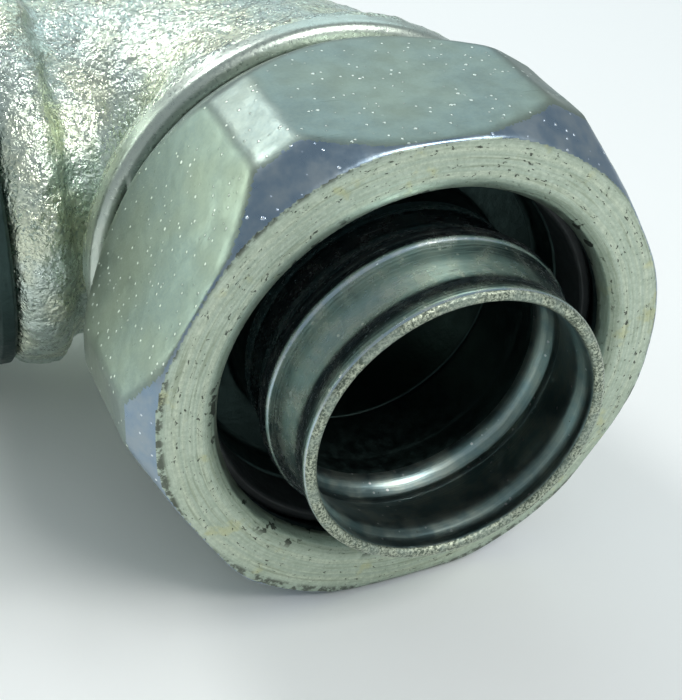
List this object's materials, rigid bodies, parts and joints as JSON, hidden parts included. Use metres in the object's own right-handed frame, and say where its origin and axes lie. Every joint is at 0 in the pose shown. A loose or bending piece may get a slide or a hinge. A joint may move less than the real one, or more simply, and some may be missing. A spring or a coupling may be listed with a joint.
{
  "type": "liquid-tight conduit elbow connector",
  "caption": "Ninety degree liquid-tight conduit connector: cast elbow, hexagon gland nut over a steel ferrule and sealing ring, threaded hub with gasket and locknut.",
  "frame": {"origin": "on the hub axis, in the plane of the flange face that seats towards the box wall", "axes": "-X out of the box hub, -Y out of the conduit gland, +Z square to both legs, through an upper flat of the gland nut"},
  "size_m": [0.0728, 0.0739, 0.0452],
  "materials": {
    "cast_zinc": "zinc plated sand casting, rough and sparkling",
    "nut_zinc": "zinc plated casting, satin flats and a turned face",
    "sheet_steel": "bright zinc plated rolled sheet",
    "ring_plastic": "dark moulded nylon",
    "throat_plastic": "dark moulded nylon",
    "gasket_rubber": "matt synthetic rubber",
    "retainer_steel": "pressed steel ring",
    "locknut_steel": "zinc plated pressed steel"
  },
  "bodies": {
    "fitting_body": {"elbow_body": "cast_zinc", "throat_liner": "throat_plastic", "hub_gasket": "gasket_rubber", "gasket_retainer": "retainer_steel"},
    "ferrule": {"ferrule": "sheet_steel"},
    "sealing_ring": {"sealing_ring": "ring_plastic"},
    "gland_nut": {"gland_nut": "nut_zinc"},
    "locknut": {"locknut": "locknut_steel"}
  },
  "joints": [
    {"name": "gland_travel", "type": "slide", "parent": "fitting_body", "child": "sealing_ring", "axis": [0, -1, 0], "range_m": [-0.0002, 0.012]},
    {"name": "gland_turn", "type": "hinge", "parent": "sealing_ring", "child": "gland_nut", "pos_m": [0.028, 0, 0], "axis": [0, -1, 0], "range_deg": [-60, 2900]},
    {"name": "ferrule_spin", "type": "hinge", "parent": "fitting_body", "child": "ferrule", "pos_m": [0.028, 0, 0], "axis": [0, -1, 0], "continuous": true},
    {"name": "locknut_travel", "type": "slide", "parent": "fitting_body", "child": "locknut", "axis": [-1, 0, 0], "range_m": [-0.0029, 0.0126]}
  ],
  "couplings": [
    {"joint": "gland_turn", "follows": "gland_travel", "rad_per_m": 4188.8}
  ]
}
